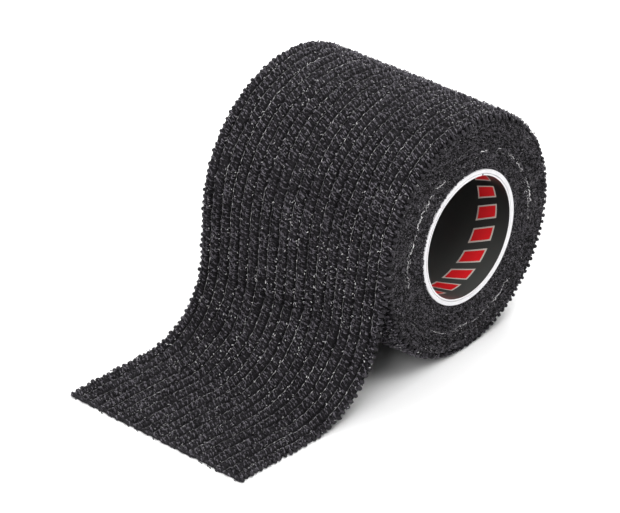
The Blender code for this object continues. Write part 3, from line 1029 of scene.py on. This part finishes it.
def face_threads(name, end, relief_seed, seed):
    """Threads that follow a turn, each an arc with a small zigzag: the bright join and a fainter seam."""
    rng = np.random.default_rng(seed)
    seam = np.arange(SEAM_ARCS) * 360.0 / SEAM_ARCS + rng.uniform(-6.0, 6.0, SEAM_ARCS)
    middle = np.radians(np.concatenate([JOIN_ARCS[:, 0], seam]))[:, None]
    spread = np.radians(np.concatenate([JOIN_ARCS[:, 1], rng.uniform(5.0, 11.0, SEAM_ARCS)]))[:, None]
    home = np.repeat([JOIN_RADIUS, SEAM_RADIUS], [len(JOIN_ARCS), SEAM_ARCS])[:, None]
    bright = np.concatenate([JOIN_ARCS[:, 2], rng.uniform(0.05, 0.18, SEAM_ARCS)])[:, None]
    thick = np.where(home < SEAM_RADIUS, 0.045 + 0.050 * bright, 0.05) * MM
    theta = middle + spread * np.linspace(-1.0, 1.0, JOIN_POINTS)
    wave = lambda length, k: soft_noise(home, theta * FACE_RUN, 0.1 * MM, length * MM, seed + k)
    zigzag = 0.14 * MM * wave(0.35, 1)
    drift = 0.40 * MM * wave(4.0, 4)
    radius = home - JOIN_DROP * np.sin(theta) + rng.uniform(-0.25, 0.25, home.shape) * MM + zigzag + drift
    radius = np.minimum(radius, face_outer - FACE_CLEAR)
    dip = 0.16 * MM * wave(0.7, 2) * (1.0 - bright)
    centre, outward = face_place(end, relief_seed, radius, theta, JOIN_LIFT + dip)
    shade = bright * (1.0 + 0.6 * wave(1.1, 3))
    made = tubes(name, centre, outward, thick, FACE_SIDES, shade, elastic)
    return made


FACE_ENDS = (("front", -1.0, FRONT_RELIEF), ("back", 1.0, BACK_RELIEF))
FACE_KINDS = (
    ("curls", face_curls, (73, 74)), ("ends", face_ends, (71, 72)), ("threads", face_threads, (75, 79)),
)
face_pieces = [
    make(f"{side}_face_{kind}", end, relief_seed, seed)
    for kind, make, seeds in FACE_KINDS for (side, end, relief_seed), seed in zip(FACE_ENDS, seeds)
]

# %% [markdown]
# ## The tube and its sleeve
#
# The core is a plain white tube with softly rounded ends. Inside it lies a sleeve of printed film,
# rolled up so that its two ends meet. Its print is a plain row of slanted red bars with a pale rim,
# its lower side is painted paler as painted light, and the cut edge of the paper behind the film
# shows white.

# %% White tube
TUBE_WALL = 0.92 * MM
TUBE_ROUND = 0.14 * MM
TUBE_STEPS = 220
CORNER_STEPS = 6


def white_core_tube():
    """Carry a rectangle with rounded corners round the axis."""
    turn = np.radians([0.0, 90.0, 180.0, 270.0])[:, None] + np.linspace(0.0, math.pi / 2, CORNER_STEPS)
    out, inn = core_radius - TUBE_ROUND, core_radius - TUBE_WALL + TUBE_ROUND
    end = core_half - TUBE_ROUND
    r = (np.array([out, inn, inn, out])[:, None] + TUBE_ROUND * np.cos(turn)).ravel()
    y = (np.array([end, end, -end, -end])[:, None] + TUBE_ROUND * np.sin(turn)).ravel()
    angle = np.linspace(0.0, TAU, TUBE_STEPS, endpoint=False)[:, None]
    faces = [ring_quads(TUBE_STEPS, len(r), wrap_rows=True)]
    made = mesh_object("white_core", round_axis(r, angle, y).reshape(-1, 3), faces, white_tube)
    return made


core = white_core_tube()

# %% Printed sleeve
SLEEVE_THICK = 0.36 * MM
SLEEVE_LAP = 0.20 * MM
PAPER_WHITE = (0.80, 0.79, 0.80, 1.0)
PRINT_PALE = (0.60, 0.55, 0.50, 1.0)
PRINT_RED = (0.78, 0.016, 0.022, 1.0)
FILM_DARK = (0.009, 0.009, 0.009)
FILM_PAINTED_LIGHT = (0.064, 0.067, 0.064)
PAINTED_LIT_SIDE = math.radians(262.0)
SLEEVE_SEAM = math.radians(70.0)
SLEEVE_GAP = math.radians(0.8)
SLEEVE_STEPS = 260
SLEEVE_LANES = 6
LAP_ANGLE = math.radians(100.0)
LAP_SPREAD = 0.09
SLEEVE_WAVE = 0.03 * MM
PAPER_SHOWS = 0.02 * MM
BAR_PITCH = 5.2 * MM
BAR_WIDTH = 0.66
BAR_RIM = 0.07
BAND_MIDDLE = -19.2 * MM
BAND_HALF = 2.5 * MM
BAR_SLANT = 0.45
sleeve_outer = core_radius - TUBE_WALL - 0.05 * MM
sleeve_end = liner_half + 0.12 * MM


def sleeve_finish():
    """Glossy black film with a row of slanted bars, red in a pale rim, and white paper at its cut edge."""
    material, tree, surface = new_finish("printed_film", FILM_DARK, 0.30)
    surface.inputs["Coat Weight"].default_value = 0.35
    surface.inputs["Coat Roughness"].default_value = 0.08
    uv = add_node(tree, "ShaderNodeUVMap", uv_map="sleeve")
    split = add_node(tree, "ShaderNodeSeparateXYZ", [("Vector", uv.outputs["UV"])])
    result = lambda kind, *inputs: math_node(tree, kind, *inputs)
    depth = result("ABSOLUTE", split.outputs["Y"])
    slanted = result("ADD", split.outputs["X"], result("MULTIPLY", split.outputs["Y"], BAR_SLANT))
    bar = result("ABSOLUTE", result("SUBTRACT", result("FRACT", slanted), 0.5))
    within = lambda value, limit: result("LESS_THAN", value, limit)
    rim, red = (
        result("MULTIPLY", within(bar, BAR_WIDTH / 2 - inset), within(depth, 0.5 - inset))
        for inset in (0.0, BAR_RIM)
    )
    # Painted light: the film is painted paler towards its lower side, where light falls into the tube.
    angle = result("MULTIPLY", split.outputs["X"], BAR_PITCH / sleeve_outer)
    facing = result("COSINE", result("SUBTRACT", angle, PAINTED_LIT_SIDE))
    painted_light = result("POWER", result("MULTIPLY_ADD", facing, 0.5, 0.5), 2.0)
    film = ramp_between(tree, painted_light, [(0.0, FILM_DARK), (1.0, FILM_PAINTED_LIGHT)])
    printed = mix_colours(tree, red, mix_colours(tree, rim, film, PRINT_PALE), PRINT_RED)
    place = add_node(tree, "ShaderNodeTexCoord")
    axes = add_node(tree, "ShaderNodeSeparateXYZ", [("Vector", place.outputs["Object"])])
    cut_edge = result("GREATER_THAN", result("ABSOLUTE", axes.outputs["Y"]), sleeve_end - PAPER_SHOWS)
    tree.links.new(mix_colours(tree, cut_edge, printed, PAPER_WHITE), surface.inputs["Base Color"])
    return material


def printed_sleeve():
    """Roll a thin sheet round the axis from one side of the seam to the other, closed at its edges."""
    first, last = SLEEVE_SEAM + SLEEVE_GAP, SLEEVE_SEAM + TAU - SLEEVE_GAP
    angle = np.linspace(first, last, SLEEVE_STEPS)[:, None]
    wave = SLEEVE_WAVE * np.sin(3.0 * angle)
    inner_y = np.linspace(-sleeve_end, sleeve_end, SLEEVE_LANES + 1)
    y = np.concatenate([inner_y, inner_y[::-1]])[None, :]
    lap = SLEEVE_LAP * np.exp(-((np.cos(angle - LAP_ANGLE) - 1.0) / LAP_SPREAD) ** 2)
    inside = np.repeat([1.0, 0.0], SLEEVE_LANES + 1)[None, :]
    points = round_axis(sleeve_outer - inside * (SLEEVE_THICK + lap) - wave - SLEEVE_WAVE, angle, y)
    ring = y.shape[1]
    lane = np.arange(SLEEVE_LANES)[:, None]
    cap = np.concatenate([lane, lane + 1, ring - 2 - lane, ring - 1 - lane], axis=1)
    rims = (0, SLEEVE_LANES, SLEEVE_LANES + 1, ring - 1)
    made = closed_strip("printed_sleeve", points, cap, sleeve_finish(), rims)
    band = (y - BAND_MIDDLE) / (2.0 * BAND_HALF)
    place = np.stack(np.broadcast_arrays(angle * sleeve_outer / BAR_PITCH, band), axis=-1)
    corner = np.zeros(len(made.data.loops), np.int32)
    made.data.loops.foreach_get("vertex_index", corner)
    layer = made.data.uv_layers.new(name="sleeve")
    layer.data.foreach_set("uv", place.reshape(-1, 2)[corner].astype(np.float32).ravel())
    return made


sleeve = printed_sleeve()

# %% [markdown]
# ## Which piece moves with which body
#
# The three lengths round the roll stay with the last turn. The peel stretch and the laid end stay
# where they are drawn, on no body. Whatever lies on a length goes with it.


dressing = (loops, bridges, rings, beads, threads, flecks, under_yarn)
for group in (tape, *dressing):
    for name in names[:3]:
        if name in group:
            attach(group[name], "last_turn")
    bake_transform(group["peel_stretch"])
    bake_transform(group["laid_end"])
for piece in (wound_edges, *face_pieces, core, sleeve):
    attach(piece, "roll")
for name in names[:3]:
    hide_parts("outer_turn")
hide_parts("outer_turn", "tail_drop")
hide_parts("tail_drop", "tail_end")
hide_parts("wound_turns")
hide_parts("core_tube")
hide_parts("core_liner")

# %% [markdown]
# ## Table, light and camera
#
# The roll stands on a white table under a wide, even light, so its shadow stays close to it. The
# camera looks from the left and above with a long lens, as in the photograph.

# %% Table
TABLE_HALF = 1.5
corners = TABLE_HALF * np.array([[-1, -1, 0], [1, -1, 0], [1, 1, 0], [-1, 1, 0]], float)
table_mesh = bpy.data.meshes.new("table")
table_mesh.from_pydata(corners.tolist(), [], [(0, 1, 2, 3)])
table_mesh.materials.append(table_top)
table = bpy.data.objects.new("table", table_mesh)
scene.collection.objects.link(table)

# %% Light
SKY_LOW, SKY_HIGH, SKY_FROM, SKY_TO = 0.08, 0.74, 0.30, 0.95
BACKDROP, BACK_FROM, BACK_TO = 0.8, 0.3, 0.8
world = bpy.data.worlds.new("studio")
scene.world = world
world.use_nodes = True
sky = world.node_tree
looking = add_node(sky, "ShaderNodeTexCoord")
rising = add_node(sky, "ShaderNodeSeparateXYZ", [("Vector", looking.outputs["Generated"])])
strength = add_node(sky, "ShaderNodeMapRange", [
    ("Value", rising.outputs["Z"]),
    ("From Min", SKY_FROM), ("From Max", SKY_TO), ("To Min", SKY_LOW), ("To Max", SKY_HIGH),
])
behind = add_node(sky, "ShaderNodeMapRange", [
    ("Value", rising.outputs["Y"]), ("From Min", BACK_FROM), ("From Max", BACK_TO), ("To Max", BACKDROP),
])
total = math_node(sky, "ADD", strength.outputs["Result"], behind.outputs["Result"])
sky.links.new(total, sky.nodes["Background"].inputs["Strength"])
sky.nodes["Background"].inputs["Color"].default_value = (1.0, 1.0, 1.0, 1.0)
scene.view_settings.view_transform = "Standard"


def soft_lamp(name, place, aim, size, power):
    """Square area lamp at a place, turned to face the aim."""
    light = bpy.data.lights.new(name, "AREA")
    light.size = size
    light.energy = power
    lamp = bpy.data.objects.new(name, light)
    scene.collection.objects.link(lamp)
    lamp.location = place
    lamp.rotation_mode = "QUATERNION"
    lamp.rotation_quaternion = (Vector(aim) - Vector(place)).to_track_quat("-Z", "Y")


soft_lamp("key", place=(0.50, 0.15, 0.70), aim=(0.0, 0.0, 0.0), size=0.50, power=5.4)
soft_lamp("fill", place=(-0.90, -0.25, 0.65), aim=(-0.03, 0.0, 0.02), size=0.60, power=6.4)
soft_lamp("front", place=(0.05, -0.50, 1.00), aim=(0.0, 0.0, 0.02), size=0.60, power=5.2)

# %% Camera
CAMERA_AZIMUTH = math.radians(-50.253)
CAMERA_ELEVATION = math.radians(30.773)
CAMERA_DISTANCE = 1.3657
CAMERA_AIM = Vector((-13.69 * MM, 6.74 * MM, 16.66 * MM))
CAMERA_ROLL = math.radians(-1.166)
IMAGE_WIDTH = 620
FOCAL_PIXELS = 6500.0
camera_data = bpy.data.cameras.new("camera")
camera_data.sensor_width = 36.0
camera_data.lens = FOCAL_PIXELS / IMAGE_WIDTH * camera_data.sensor_width
camera_data.clip_end = 20.0
camera = bpy.data.objects.new("camera", camera_data)
scene.collection.objects.link(camera)
outward = Vector((
    math.sin(CAMERA_AZIMUTH) * math.cos(CAMERA_ELEVATION),
    -math.cos(CAMERA_AZIMUTH) * math.cos(CAMERA_ELEVATION),
    math.sin(CAMERA_ELEVATION),
))
camera.location = Vector(roll_axis) + CAMERA_DISTANCE * outward
level = (CAMERA_AIM - camera.location).to_track_quat("-Z", "Y")
camera.rotation_mode = "QUATERNION"
camera.rotation_quaternion = level @ Quaternion((0.0, 0.0, 1.0), CAMERA_ROLL)
scene.camera = camera
print("camera at", tuple(round(value, 4) for value in camera.location))
